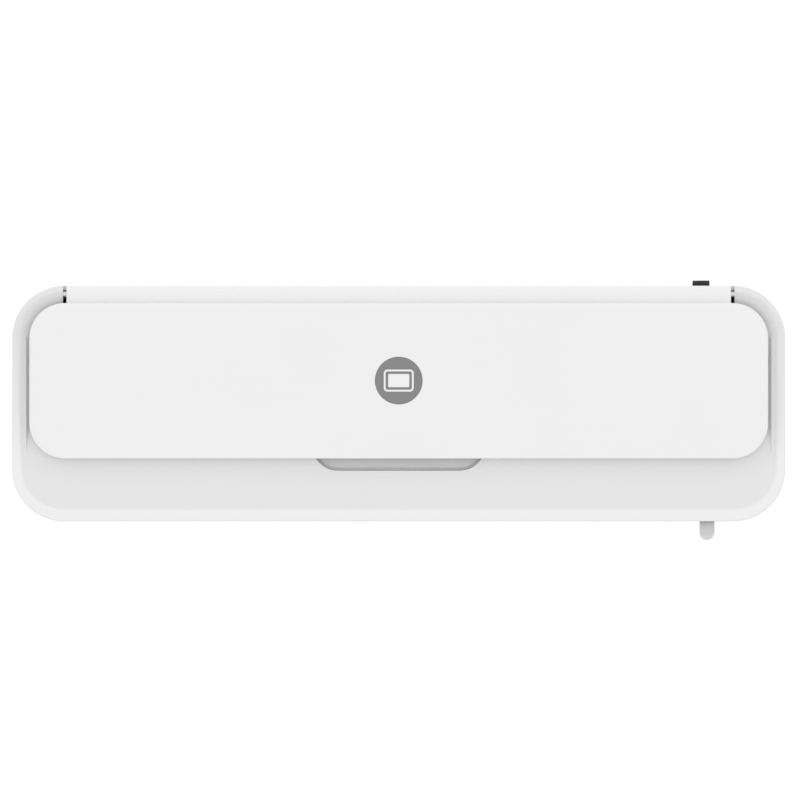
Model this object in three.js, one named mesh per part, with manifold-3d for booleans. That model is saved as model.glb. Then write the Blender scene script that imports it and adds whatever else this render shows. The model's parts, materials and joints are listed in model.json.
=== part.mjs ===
// A desktop pouch laminator for A3 sheets, closed and on its feet. Millimetres, +Z up, front towards -Y.
import * as THREE from 'three';
import { mergeVertices } from 'three/addons/utils/BufferGeometryUtils.js';
import Module from 'manifold-3d';

const wasm = await Module();
wasm.setup();

// ---- driving dimensions ----
const BODY_WIDTH = 490;
const BODY_FRONT = -70.4;
const BODY_REAR = 78.9;
const CORNER_RADIUS = 33;
const WALL = 2.5;
const BASE_Z = 3; // underside of the base
const SPLIT_Z = 30; // joint line between the two shells
const DECK_Z = 62;
const DECK_THICKNESS = 2.3;
const RIM_Z = 62.8;
const RIM_WIDTH = 6.5;
const RIM_REAR_Y = 60; // the raised rim stops here
const SEAM = 0.3; // gap between pieces that rest on each other
const ROUND = 24; // sides of a turned piece
const CORNER_STEPS = 4; // half the steps around each rounded corner

const EXIT_HALF = 168; // half width of the slot that a pouch leaves by
const EXIT_Z = [18, 26];
const ENTRY_HALF = 167; // half width of the opening that a pouch is fed into
const ENTRY_FRONT = 40;
const SILL_Z = 59; // rear edge of the entry opening
const POCKET_WIDTH = 109.8; // finger pocket at the lid's front edge
const POCKET_FRONT = -38.2;
const POCKET_REAR = -5.2;
const POCKET_CORNER = 16.4;
const POCKET_DEPTH = 4.2;
const TROUGH_HALF = 220; // outside of the walls around the hinge notch
const TROUGH_WALL = 2.2;

const LID_WIDTH = 468;
const LID_FRONT = -30.6;
const LID_REAR = 67.9;
const LID_CORNER = 22.5;
const LID_BOTTOM_Z = 62.6;
const LID_TOP_Z = 71;
const LID_SKIN = 2.4;
const LID_SKIRT = 2;
const LID_EDGE = 1.6; // chamfer around the lid's top
const LINER_Z = 64.6;
const LINER_THICKNESS = 1.6;
const EMBLEM_RADIUS = 15;
const EMBLEM_Y = 18.8;

const HINGE_Y = 73.4;
const HINGE_Z = 58.6;
const BARREL_RADIUS = 5.5;
const BARREL_HALF = 210.5;
const WEB_TOP_Z = 64.5; // top of the web that joins the lid to its barrel
const NOTCH_HALF = 212.8; // half width of the notch that the barrel turns in
const NOTCH_FRONT = 67.3;
const NOTCH_FLOOR = 52.8;
const HINGE_PIN_RADIUS = 1.75;
const RUNNING = 0.08; // radial clearance of a shaft in a hole

// The feed frame starts at the rollers' nip: its y runs up the slope to the rear, and its z is square to it.
const NIP_Y = -25;
const NIP_Z = 35;
const SLOPE = THREE.MathUtils.degToRad(16);
const POUCH_HALF = 166; // half width of the pouch path
const ROLLER_RADIUS = 9;
const ROLLER_OFFSET = 9.15; // each roller axis from the nip
const CORE_RADIUS = 6;
const JOURNAL_RADIUS = 3.5;
const FRAME_IN = 172; // inner face of each side frame
const FRAME_OUT = 175;
const BLOCK_IN = 170; // the sliding bearing block along x
const BLOCK_OUT = 181;
const BLOCK_HALF = 6;
const BLOCK_BOTTOM = 2.9;
const BLOCK_TOP = 14.5;
const KEEPER_BOTTOM = 20;
const NOSE_IN = 176;
const NOSE_BOTTOM = 11.5;
const NOSE_REACH = 16;
const BEARING_RADIUS = 7;
const BEARING_FLANGE = 8.5;
const PLATE_Y = [11, 51]; // the heater plates along the slope
const PLATE_N = [1.5, 5.5]; // and square to it, from the pouch path outwards
const ELEMENT_HALF = 150;
const ELEMENT_Y = [21, 41];
const ELEMENT_N = [5.8, 7.6];
const GUIDE_N = [-3.2, -1.7];
const TIE_ROD_RADIUS = 3;
const TIE_ROD_Z = 12;
const TIE_ROD_Y = { front: -50, rear: 54 };

const GEAR_MODULE = 1;
const BACKLASH = 0.3;
const DRIVE_TEETH = 36;
const PINION_TEETH = 20;
const COUPLING_TEETH = 18;
const PINION_ANGLE = THREE.MathUtils.degToRad(15);
const MOTOR_Y = 12;
const MOTOR_Z = 32;
const MOTOR_RADIUS = 24;
const MOTOR_FACE = -202; // gearbox face, against the bracket
const MOTOR_END = -226;
const BRACKET_X = [-201.7, -199.7];
const SHAFT_RADIUS = 2.5;
const DRIVE_X = [-197, -191];
const PINION_X = [-197.5, -190.5];
const COUPLING_X = [-189.5, -183.5];

const CAM_Y = -18; // release shaft axis in the feed frame
const CAM_Z = 7.5;
const CAM_OFFSET = 4;
const CAM_RADIUS = 3.9;
const CAM_SHAFT_RADIUS = 2.5;
const LEVER_X = 195.45;
const LEVER_WIDTH = 9.5;
const LEVER_THICKNESS = 5;
const LEVER_TILT = THREE.MathUtils.degToRad(20);
const FRONT_REACH = -82.4; // tip of the lever
const REAR_REACH = 82.4; // raised end of the rocker

const ROCKER_X = 191.7;
const ROCKER_Z = 40;
const ROCKER_WIDTH = 10.8;
const ROCKER_HALF = 6.2;
const ROCKER_FACE = 4.9; // pivot to the ends of the rocker's face
const ROCKER_TILT = THREE.MathUtils.degToRad(9);

const SLIDER_X = 150;
const CONTROL_Z = 42;
const LIGHT_X = { power_light_pipe: 118, ready_light_pipe: 130 };
const LIGHT_RADIUS = 1.9;
const SCREW_X = 228;
const SCREW_Y = { front: -38, rear: 50 };
const SCREW_HEAD = 3.9;
const SCREW_RADIUS = 1.3;
const SEAT_Z = 7.5; // top of the screw seats in the base
const FOOT_X = 205;
const FOOT_Y = { front: -46, rear: 56 };
const FOOT_RADIUS = 9;
const CORD_X = 165;
const CORD_Z = 17;
const CORD_HOLE = 5.3;
const BOARD_X = [206, 238];
const BOARD_Y = [-30, 40];
const BOARD_Z = [12, 13.6];
const SIDES = { left: -1, right: 1 };

// ---- materials ----
const COLOURS = {
  white: ['#f2f2f0', 0.45, 0],
  deck: ['#e8e8e6', 0.5, 0],
  grey: ['#bdbdbd', 0.5, 0],
  emblem: ['#8a8c8e', 0.4, 0],
  black: ['#2b2b2c', 0.45, 0],
  rubber: ['#26282a', 0.85, 0],
  silicone: ['#b4503c', 0.7, 0],
  steel: ['#a9adb0', 0.35, 1],
  aluminium: ['#c8cacc', 0.4, 1],
  gear: ['#e5dfcc', 0.55, 0],
  mica: ['#b39b6c', 0.7, 0],
  board: ['#2f6b45', 0.6, 0],
  clear: ['#d9ecf2', 0.2, 0],
};
const materials = Object.fromEntries(Object.entries(COLOURS).map(([name, [color, roughness, metalness]]) =>
  [name, new THREE.MeshStandardMaterial({ color, roughness, metalness })]));

// ---- solids ----
function toSolid(geometry) {
  const bare = geometry.clone();
  bare.deleteAttribute('normal');
  bare.deleteAttribute('uv');
  const merged = mergeVertices(bare, 1e-4);
  return new wasm.Manifold(new wasm.Mesh({
    numProp: 3,
    vertProperties: new Float32Array(merged.attributes.position.array),
    triVerts: new Uint32Array(merged.index.array),
  }));
}

function toGeometry(solid) {
  const mesh = solid.getMesh();
  const geometry = new THREE.BufferGeometry();
  geometry.setAttribute('position', new THREE.BufferAttribute(mesh.vertProperties, 3));
  geometry.setIndex(new THREE.BufferAttribute(mesh.triVerts, 1));
  geometry.computeVertexNormals();
  return geometry;
}

function box([x0, x1], [y0, y1], [z0, z1]) {
  const geometry = new THREE.BoxGeometry(x1 - x0, y1 - y0, z1 - z0);
  geometry.translate((x0 + x1) / 2, (y0 + y1) / 2, (z0 + z1) / 2);
  return toSolid(geometry);
}

function extruded(shape, depth) {
  return new THREE.ExtrudeGeometry(shape, { depth, bevelEnabled: false, curveSegments: CORNER_STEPS });
}

// A shape in x and y, extruded from z0 up to z1.
function prism(shape, z0, z1) {
  return toSolid(extruded(shape, z1 - z0).translate(0, 0, z0));
}

// A shape in y and z, extruded from x0 to x1.
function slab(shape, x0, x1) {
  const turn = new THREE.Matrix4().makeBasis(
    new THREE.Vector3(0, 1, 0), new THREE.Vector3(0, 0, 1), new THREE.Vector3(1, 0, 0));
  return toSolid(extruded(shape, x1 - x0).applyMatrix4(turn).translate(x0, 0, 0));
}

function rodX(radius, [x0, x1], y, z, sides = ROUND) {
  const geometry = new THREE.CylinderGeometry(radius, radius, x1 - x0, sides);
  return toSolid(geometry.rotateZ(-Math.PI / 2).translate((x0 + x1) / 2, y, z));
}

function rodY(radius, [y0, y1], x, z, sides = ROUND) {
  const geometry = new THREE.CylinderGeometry(radius, radius, y1 - y0, sides);
  return toSolid(geometry.translate(x, (y0 + y1) / 2, z));
}

function rodZ(radius, [z0, z1], x, y, sides = ROUND) {
  const geometry = new THREE.CylinderGeometry(radius, radius, z1 - z0, sides);
  return toSolid(geometry.rotateX(Math.PI / 2).translate(x, y, (z0 + z1) / 2));
}

// A turned piece about the x axis, from [x, radius] points that close on themselves or on the axis.
function turnedX(profile, y, z) {
  const points = profile.map(([x, radius]) => new THREE.Vector2(radius, x));
  const geometry = new THREE.LatheGeometry(points, ROUND);
  return toSolid(geometry.rotateZ(-Math.PI / 2).translate(0, y, z));
}

function polygon(points) {
  return new THREE.Shape(points.map(([a, b]) => new THREE.Vector2(a, b)));
}

function roundedRect(width, front, rear, radius, inset = 0) {
  const right = width / 2 - inset;
  const low = front + inset;
  const high = rear - inset;
  const r = radius - inset;
  const shape = new THREE.Shape();
  shape.absarc(right - r, high - r, r, 0, Math.PI / 2);
  shape.absarc(-right + r, high - r, r, Math.PI / 2, Math.PI);
  shape.absarc(-right + r, low + r, r, Math.PI, 1.5 * Math.PI);
  shape.absarc(right - r, low + r, r, 1.5 * Math.PI, 2 * Math.PI);
  return shape;
}

function bodyOutline(inset = 0) {
  return roundedRect(BODY_WIDTH, BODY_FRONT, BODY_REAR, CORNER_RADIUS, inset);
}

// The y and z, in the machine's own frame, of a point of the feed frame.
function fromFeed(y, z) {
  return [
    NIP_Y + y * Math.cos(SLOPE) - z * Math.sin(SLOPE),
    NIP_Z + y * Math.sin(SLOPE) + z * Math.cos(SLOPE),
  ];
}

// A solid made in the feed frame, moved into the machine's own frame.
function tilted(solid) {
  const matrix = new THREE.Matrix4().makeRotationX(SLOPE).setPosition(0, NIP_Y, NIP_Z);
  return solid.transform(matrix.elements);
}

function union(solids) {
  return solids.reduce((whole, solid) => whole.add(solid));
}

const group = new THREE.Group();
const feed = new THREE.Group();
feed.position.set(0, NIP_Y, NIP_Z);
feed.rotation.x = SLOPE;
group.add(feed);

function place(name, solid, material, parent = group) {
  const mesh = new THREE.Mesh(toGeometry(solid), materials[material]);
  mesh.name = name;
  parent.add(mesh);
  return mesh;
}

// ---- housing ----
const screwPoints = Object.keys(SCREW_Y).flatMap((end) =>
  Object.keys(SIDES).map((side) => [`${end}_${side}`, SIDES[side] * SCREW_X, SCREW_Y[end]]));

function baseShell() {
  const outside = prism(bodyOutline(), BASE_Z, SPLIT_Z - SEAM / 2);
  const hollow = prism(bodyOutline(WALL), BASE_Z + WALL, SPLIT_Z + 1);
  const exitSlot = box([-EXIT_HALF, EXIT_HALF], [BODY_FRONT - 1, BODY_FRONT + WALL + 1], EXIT_Z);
  const cordHole = rodY(CORD_HOLE, [BODY_REAR - WALL - 1, BODY_REAR + 1], CORD_X, CORD_Z);
  const postReach = [BASE_Z + 1, BOARD_Z[0] - SEAM];
  const boardPosts = union([BOARD_X[0] + 4, BOARD_X[1] - 4].flatMap((x) =>
    [BOARD_Y[0] + 4, BOARD_Y[1] - 4].map((y) => rodZ(3, postReach, x, y, 12))));
  const screwSeats = union(screwPoints.map(([, x, y]) => rodZ(7, [BASE_Z + 1, SEAT_Z], x, y, 16)));
  const screwHoles = union(screwPoints.map(([, x, y]) =>
    rodZ(SCREW_HEAD + 0.5, [BASE_Z - 1, 5.2], x, y, 16).add(rodZ(SCREW_RADIUS + 0.6, [5, 9], x, y, 12))));
  return outside.subtract(hollow).subtract(exitSlot).subtract(cordHole).add(boardPosts).add(screwSeats)
    .subtract(screwHoles);
}

function fingerPocket(inset, z0, z1) {
  return prism(roundedRect(POCKET_WIDTH, POCKET_FRONT, POCKET_REAR, POCKET_CORNER, inset), z0, z1);
}

function topShell() {
  const deckBottom = DECK_Z - DECK_THICKNESS;
  const outside = prism(bodyOutline(), SPLIT_Z + SEAM / 2, RIM_Z);
  const hollow = prism(bodyOutline(WALL), SPLIT_Z, deckBottom);
  const deckDrop = prism(bodyOutline(RIM_WIDTH), DECK_Z, RIM_Z + 1);
  const rearDrop = box([-250, 250], [RIM_REAR_Y, BODY_REAR + 1], [DECK_Z, RIM_Z + 1]);
  const troughDepth = [NOTCH_FLOOR - TROUGH_WALL, DECK_Z - 1];
  const trough = box([-TROUGH_HALF, TROUGH_HALF], [NOTCH_FRONT - TROUGH_WALL, BODY_REAR - 1], troughDepth);
  const notch = box([-NOTCH_HALF, NOTCH_HALF], [NOTCH_FRONT, BODY_REAR + 1], [NOTCH_FLOOR, RIM_Z + 1]);
  const pinBore = rodX(HINGE_PIN_RADIUS + RUNNING, [-TROUGH_HALF - 2, TROUGH_HALF + 2], HINGE_Y, HINGE_Z);
  const across = [-ENTRY_HALF, ENTRY_HALF];
  const entry = box(across, [ENTRY_FRONT, NOTCH_FRONT - 2.6], [50, RIM_Z + 1]);
  const entrySill = box(across, [NOTCH_FRONT - 3, NOTCH_FRONT + 1], [SILL_Z, RIM_Z + 1]);
  const pocketFloor = DECK_Z - POCKET_DEPTH;
  const pocketWall = fingerPocket(-1.6, pocketFloor - 1.6, deckBottom + 0.5);
  const frontWall = [BODY_FRONT - 1, BODY_FRONT + WALL + 1];
  const rearWall = [BODY_REAR - WALL - 1, BODY_REAR + 1];
  const leverSlot = box([LEVER_X - 5.25, LEVER_X + 5.25], frontWall, [32.2, 50.8]);
  const sliderSlot = box([SLIDER_X - 7.7, SLIDER_X + 7.7], frontWall, [CONTROL_Z - 2.9, CONTROL_Z + 2.9]);
  const lights = union(Object.values(LIGHT_X).map((x) =>
    rodY(LIGHT_RADIUS + SEAM, frontWall, x, CONTROL_Z, 16)));
  const rockerHole = box([ROCKER_X - 6.5, ROCKER_X + 6.5], rearWall, [ROCKER_Z - 8.5, ROCKER_Z + 8.5]);
  const bosses = union(screwPoints.map(([, x, y]) => rodZ(4, [SEAT_Z + SEAM, deckBottom + 1], x, y, 16)));
  const bores = union(screwPoints.map(([, x, y]) => rodZ(1.5, [5, 18], x, y, 12)));
  return outside.subtract(hollow).subtract(deckDrop).subtract(rearDrop).add(trough).subtract(notch)
    .subtract(pinBore).subtract(entry).subtract(entrySill).add(pocketWall)
    .subtract(fingerPocket(0, pocketFloor, RIM_Z + 1)).subtract(leverSlot).subtract(sliderSlot)
    .subtract(lights).subtract(rockerHole).add(bosses).subtract(bores);
}

function fingerRecessInsert() {
  const low = DECK_Z - POCKET_DEPTH + SEAM;
  const dish = fingerPocket(SEAM, low, DECK_Z - 0.2);
  return dish.subtract(fingerPocket(1.2, low + 1, DECK_Z + 1));
}

function addHousing() {
  place('base_shell', baseShell(), 'white');
  place('top_shell', topShell(), 'deck');
  place('finger_recess_insert', fingerRecessInsert(), 'grey');
  for (const [end, y] of Object.entries(FOOT_Y)) {
    for (const [side, sign] of Object.entries(SIDES)) {
      const foot = rodZ(FOOT_RADIUS, [0, BASE_Z - SEAM], sign * FOOT_X, y, 20);
      place(`rubber_foot_${end}_${side}`, foot, 'rubber');
    }
  }
  for (const [corner, x, y] of screwPoints) {
    const screw = rodZ(SCREW_HEAD, [3.2, 5], x, y, 16).add(rodZ(SCREW_RADIUS, [4.5, 16], x, y, 12));
    place(`housing_screw_${corner}`, screw, 'steel');
  }
  const gland = toSolid(new THREE.LatheGeometry(
    [[3.2, 73], [6.8, 73], [6.8, 76.1], [5, 76.1], [5, 78.6], [3.2, 78.6], [3.2, 73]]
      .map(([radius, y]) => new THREE.Vector2(radius, y)), ROUND).translate(CORD_X, 0, CORD_Z));
  place('cord_gland', gland, 'black');
}

// ---- lid ----
function lidOutline(inset = 0) {
  return roundedRect(LID_WIDTH, LID_FRONT, LID_REAR, LID_CORNER, inset);
}

function lidPanel() {
  const chamfered = new THREE.ExtrudeGeometry(lidOutline(LID_EDGE), {
    depth: LID_TOP_Z - LID_BOTTOM_Z, bevelSize: LID_EDGE, bevelThickness: LID_EDGE, bevelSegments: 2,
    curveSegments: CORNER_STEPS,
  }).translate(0, 0, LID_BOTTOM_Z - LID_EDGE);
  const below = box([-250, 250], [-50, 90], [LID_BOTTOM_Z - 5, LID_BOTTOM_Z]);
  const hollow = prism(lidOutline(LID_SKIRT), LID_BOTTOM_Z - 1, LID_TOP_Z - LID_SKIN);
  const linerPosts = union([-180, -60, 60, 180].flatMap((x) =>
    [-5, 42].map((y) => rodZ(3, [LINER_Z + LINER_THICKNESS + SEAM, LID_TOP_Z - 1], x, y, 12))));
  const emblemSeat = rodZ(EMBLEM_RADIUS + SEAM, [LID_TOP_Z - 1, LID_TOP_Z + 1], 0, EMBLEM_Y, 32);
  const barrel = rodX(BARREL_RADIUS, [-BARREL_HALF, BARREL_HALF], HINGE_Y, HINGE_Z);
  const web = box([-BARREL_HALF, BARREL_HALF], [LID_REAR - 1.5, HINGE_Y], [LID_BOTTOM_Z, WEB_TOP_Z]);
  const pinHoles = union([-1, 1].map((sign) => {
    const reach = [sign * (BARREL_HALF + 1), sign * (BARREL_HALF - 10)].sort((a, b) => a - b);
    return rodX(HINGE_PIN_RADIUS + RUNNING, reach, HINGE_Y, HINGE_Z);
  }));
  return toSolid(chamfered).subtract(below).subtract(hollow).add(linerPosts).subtract(emblemSeat)
    .add(barrel).add(web).subtract(pinHoles);
}

function addLid() {
  place('lid_panel', lidPanel(), 'white');
  const liner = prism(lidOutline(LID_SKIRT + SEAM), LINER_Z, LINER_Z + LINER_THICKNESS);
  place('lid_liner', liner, 'white');
  const emblem = rodZ(EMBLEM_RADIUS, [LID_TOP_Z - 1 + SEAM, LID_TOP_Z], 0, EMBLEM_Y, 32);
  place('lid_emblem', emblem, 'emblem');
  for (const [side, sign] of Object.entries(SIDES)) {
    const reach = [sign * 201.5, sign * 219.5].sort((a, b) => a - b);
    place(`hinge_pin_${side}`, rodX(HINGE_PIN_RADIUS, reach, HINGE_Y, HINGE_Z), 'steel');
  }
}

// ---- chassis ----
function sideSpan(sign, inner, outer) {
  return [sign * inner, sign * outer].sort((a, b) => a - b);
}

const lowerAxis = fromFeed(0, -ROLLER_OFFSET);
const camAxis = fromFeed(CAM_Y, CAM_Z);

function sideFrame(sign) {
  const outline = polygon([[-58, 5.8], [60, 5.8], [60, 54], [40, 58], [-22, 58], [-40, 54], [-58, 46]]);
  const reach = sideSpan(sign, FRAME_IN, FRAME_OUT);
  const through = sideSpan(sign, FRAME_IN - 3, FRAME_OUT + 3);
  const blockSlot = tilted(box(through, [-BLOCK_HALF - SEAM, BLOCK_HALF + SEAM], [BLOCK_BOTTOM - SEAM, 40]));
  const keeperSeat = tilted(box(through, [-9.3, 9.3], [KEEPER_BOTTOM - SEAM, 40]));
  const bearingHole = rodX(BEARING_RADIUS + SEAM, through, ...lowerAxis);
  const camHole = rodX(CAM_SHAFT_RADIUS + RUNNING, through, ...camAxis);
  const lightening = box(through, [8, 48], [12, 34]);
  return slab(outline, ...reach).subtract(blockSlot).subtract(keeperSeat).subtract(bearingHole)
    .subtract(camHole).subtract(lightening);
}

function addChassis() {
  const between = [-FRAME_IN + SEAM, FRAME_IN - SEAM];
  for (const [side, sign] of Object.entries(SIDES)) {
    place(`side_frame_${side}`, sideFrame(sign), 'steel');
    const keeper = box(sideSpan(sign, BLOCK_IN, BLOCK_OUT), [-9, 9], [KEEPER_BOTTOM, KEEPER_BOTTOM + 2]);
    place(`spring_keeper_${side}`, keeper, 'steel', feed);
  }
  for (const [end, y] of Object.entries(TIE_ROD_Y)) {
    place(`tie_rod_${end}`, rodX(TIE_ROD_RADIUS, between, y, TIE_ROD_Z, 12), 'steel');
  }
  place('entry_guide', box(between, [53, 92], GUIDE_N), 'black', feed);
  place('exit_guide', box(between, [-42, -12], GUIDE_N), 'black', feed);
}

// ---- heating ----
function addHeating() {
  const between = [-FRAME_IN + SEAM, FRAME_IN - SEAM];
  for (const [level, sign] of [['lower', -1], ['upper', 1]]) {
    const plate = box(between, PLATE_Y, sideSpan(sign, ...PLATE_N));
    place(`${level}_heater_plate`, plate, 'aluminium', feed);
    const element = box([-ELEMENT_HALF, ELEMENT_HALF], ELEMENT_Y, sideSpan(sign, ...ELEMENT_N));
    place(`${level}_heating_element`, element, 'mica', feed);
  }
  place('thermostat', rodZ(7, [7.9, 12.9], 60, 31), 'black', feed);
  place('thermal_fuse', rodX(1.8, [14, 30], 31, 9.8, 12), 'steel', feed);
}

// ---- rollers and bearings ----
function rollerCore(x0, x1, z) {
  const half = POUCH_HALF + 2;
  const profile = [[x0, 0], [x0, JOURNAL_RADIUS], [-half, JOURNAL_RADIUS], [-half, CORE_RADIUS],
    [half, CORE_RADIUS], [half, JOURNAL_RADIUS], [x1, JOURNAL_RADIUS], [x1, 0]];
  return turnedX(profile, 0, z);
}

function rollerSleeve(z) {
  const bore = CORE_RADIUS + 0.05;
  const profile = [[-POUCH_HALF, bore], [-POUCH_HALF, ROLLER_RADIUS], [POUCH_HALF, ROLLER_RADIUS],
    [POUCH_HALF, bore], [-POUCH_HALF, bore]];
  return turnedX(profile, 0, z);
}

function lowerBearing(sign) {
  const bore = JOURNAL_RADIUS + RUNNING;
  const inner = BLOCK_IN + 0.2;
  const face = FRAME_OUT + SEAM;
  const outer = FRAME_OUT + 2;
  const profile = [[inner, bore], [inner, BEARING_RADIUS], [face, BEARING_RADIUS], [face, BEARING_FLANGE],
    [outer, BEARING_FLANGE], [outer, bore], [inner, bore]];
  const right = turnedX(profile, 0, -ROLLER_OFFSET);
  return sign > 0 ? right : right.mirror([1, 0, 0]);
}

function upperBearing(sign) {
  const block = box(sideSpan(sign, BLOCK_IN, BLOCK_OUT), [-BLOCK_HALF, BLOCK_HALF], [BLOCK_BOTTOM, BLOCK_TOP]);
  const nose = box(sideSpan(sign, NOSE_IN, BLOCK_OUT), [-NOSE_REACH, 0], [NOSE_BOTTOM, BLOCK_TOP]);
  const bore = rodX(JOURNAL_RADIUS + RUNNING, sideSpan(sign, BLOCK_IN - 1, BLOCK_OUT + 1), 0, ROLLER_OFFSET);
  return block.add(nose).subtract(bore);
}

// A compression spring's wire, standing between the bearing block and its keeper.
class SpringPath extends THREE.Curve {
  constructor(radius, height, turns) {
    super();
    Object.assign(this, { radius, height, turns });
  }

  getPoint(t, target = new THREE.Vector3()) {
    const angle = 2 * Math.PI * this.turns * t;
    return target.set(this.radius * Math.cos(angle), this.radius * Math.sin(angle), this.height * t);
  }
}

function pressureSpring() {
  const wire = 0.45;
  const turns = 3;
  const low = BLOCK_TOP + SEAM + wire;
  const high = KEEPER_BOTTOM - SEAM - wire;
  const section = new THREE.Shape().absarc(0, 0, wire, 0, 2 * Math.PI);
  const geometry = new THREE.ExtrudeGeometry(section, {
    steps: turns * 10, extrudePath: new SpringPath(3, high - low, turns), curveSegments: 6,
  });
  return toSolid(geometry.translate(0, 0, low));
}

function addRollers() {
  place('lower_roller_core', rollerCore(-198, 178.5, -ROLLER_OFFSET), 'steel', feed);
  place('lower_roller_sleeve', rollerSleeve(-ROLLER_OFFSET), 'silicone', feed);
  place('upper_roller_core', rollerCore(-190.2, 182, ROLLER_OFFSET), 'steel', feed);
  place('upper_roller_sleeve', rollerSleeve(ROLLER_OFFSET), 'silicone', feed);
  for (const [side, sign] of Object.entries(SIDES)) {
    place(`lower_bearing_${side}`, lowerBearing(sign), 'gear', feed);
    place(`upper_bearing_${side}`, upperBearing(sign), 'gear', feed);
    place(`pressure_spring_${side}`, pressureSpring(), 'steel', feed).position.x = sign * 175.5;
  }
}

// ---- gears and motor ----
// A spur gear's outline: each flank has its root, pitch and tip points on the involute.
function gearOutline(teeth, phase) {
  const pitchRadius = teeth * GEAR_MODULE / 2;
  const baseRadius = pitchRadius * Math.cos(THREE.MathUtils.degToRad(20));
  const rootRadius = pitchRadius - 1.25 * GEAR_MODULE;
  const tipRadius = pitchRadius + 0.95 * GEAR_MODULE;
  const spread = (radius) => Math.sqrt(Math.max((radius / baseRadius) ** 2 - 1, 0));
  const involute = (radius) => spread(radius) - Math.atan(spread(radius));
  const halfAtPitch = (Math.PI * GEAR_MODULE - BACKLASH) / (4 * pitchRadius);
  const half = (radius) => halfAtPitch + involute(pitchRadius) - involute(radius);
  const flank = [rootRadius, pitchRadius, tipRadius].map((radius) => [radius, half(radius)]);
  const tooth = [...flank.map(([radius, angle]) => [radius, -angle]), ...flank.reverse()];
  return Array.from({ length: teeth }, (_, index) => tooth.map(([radius, angle]) => {
    const turn = phase + 2 * Math.PI * index / teeth + angle;
    return [radius * Math.cos(turn), radius * Math.sin(turn)];
  })).flat();
}

function gear(teeth, phase, [x0, x1], bore) {
  return slab(polygon(gearOutline(teeth, phase)), x0, x1).subtract(rodX(bore, [x0 - 1, x1 + 1], 0, 0));
}

function placeAt(mesh, y, z) {
  mesh.position.set(0, y, z);
}

function addDrive() {
  const distance = GEAR_MODULE * (DRIVE_TEETH + PINION_TEETH) / 2;
  const pinion = [
    lowerAxis[0] + distance * Math.cos(PINION_ANGLE),
    lowerAxis[1] + distance * Math.sin(PINION_ANGLE),
  ];
  const onJournal = JOURNAL_RADIUS + 0.05;
  const drive = gear(DRIVE_TEETH, PINION_ANGLE, DRIVE_X, onJournal);
  placeAt(place('drive_gear', drive, 'gear'), ...lowerAxis);
  const lowerGear = gear(COUPLING_TEETH, Math.PI / 2, COUPLING_X, onJournal);
  placeAt(place('lower_coupling_gear', lowerGear, 'gear', feed), 0, -ROLLER_OFFSET);
  const upperPhase = -Math.PI / 2 + Math.PI / COUPLING_TEETH;
  const upperGear = gear(COUPLING_TEETH, upperPhase, COUPLING_X, onJournal);
  placeAt(place('upper_coupling_gear', upperGear, 'gear', feed), 0, ROLLER_OFFSET);
  const pinionPhase = PINION_ANGLE + Math.PI + Math.PI / PINION_TEETH;
  const pinionGear = gear(PINION_TEETH, pinionPhase, PINION_X, SHAFT_RADIUS + 0.05);
  placeAt(place('motor_pinion', pinionGear, 'gear'), ...pinion);
  place('motor_output_shaft', rodX(SHAFT_RADIUS, [-201.6, -190], ...pinion), 'steel');
  const plate = box(BRACKET_X, [-14, 38], [5.8, 55]);
  const shaftHole = rodX(SHAFT_RADIUS + SEAM, [BRACKET_X[0] - 1, BRACKET_X[1] + 1], ...pinion);
  place('motor_bracket', plate.subtract(shaftHole), 'steel');
  const gearbox = rodX(MOTOR_RADIUS, [MOTOR_FACE - 8, MOTOR_FACE], MOTOR_Y, MOTOR_Z);
  const can = rodX(MOTOR_RADIUS - 1.5, [MOTOR_END, MOTOR_FACE - 7], MOTOR_Y, MOTOR_Z);
  place('gear_motor', gearbox.add(can), 'steel');
}

// ---- roller release ----
function releaseCam(sign) {
  const reach = sideSpan(sign, NOSE_IN, BLOCK_OUT);
  const lobe = rodX(CAM_RADIUS, reach, CAM_OFFSET, 0);
  const hub = rodX(CAM_RADIUS, reach, 0, 0);
  const bridge = box(reach, [0, CAM_OFFSET], [-CAM_RADIUS, CAM_RADIUS]);
  const bore = rodX(CAM_SHAFT_RADIUS + RUNNING, sideSpan(sign, NOSE_IN - 1, BLOCK_OUT + 1), 0, 0);
  return lobe.add(hub).add(bridge).subtract(bore);
}

// The lever points forward and up from its shaft, with a tip that is round in plan.
function releaseLever() {
  const half = LEVER_WIDTH / 2;
  const length = (camAxis[0] - FRONT_REACH - LEVER_THICKNESS / 2 * Math.sin(LEVER_TILT)) / Math.cos(LEVER_TILT);
  const plan = new THREE.Shape();
  plan.moveTo(half, 0);
  plan.lineTo(-half, 0);
  plan.absarc(0, -(length - half), half, Math.PI, 2 * Math.PI);
  const arm = prism(plan, -LEVER_THICKNESS / 2, LEVER_THICKNESS / 2);
  const hub = rodX(6, [-half, half], 0, 0);
  return arm.add(hub).subtract(rodX(CAM_SHAFT_RADIUS + 0.05, [-half - 1, half + 1], 0, 0));
}

function addRelease() {
  place('release_shaft', rodX(CAM_SHAFT_RADIUS, [-182, 201.5], CAM_Y, CAM_Z), 'steel', feed);
  for (const [side, sign] of Object.entries(SIDES)) {
    placeAt(place(`release_cam_${side}`, releaseCam(sign), 'gear', feed), CAM_Y, CAM_Z);
  }
  const lever = place('release_lever', releaseLever(), 'grey');
  lever.position.set(LEVER_X, ...camAxis);
  lever.rotation.x = -LEVER_TILT;
}

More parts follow.
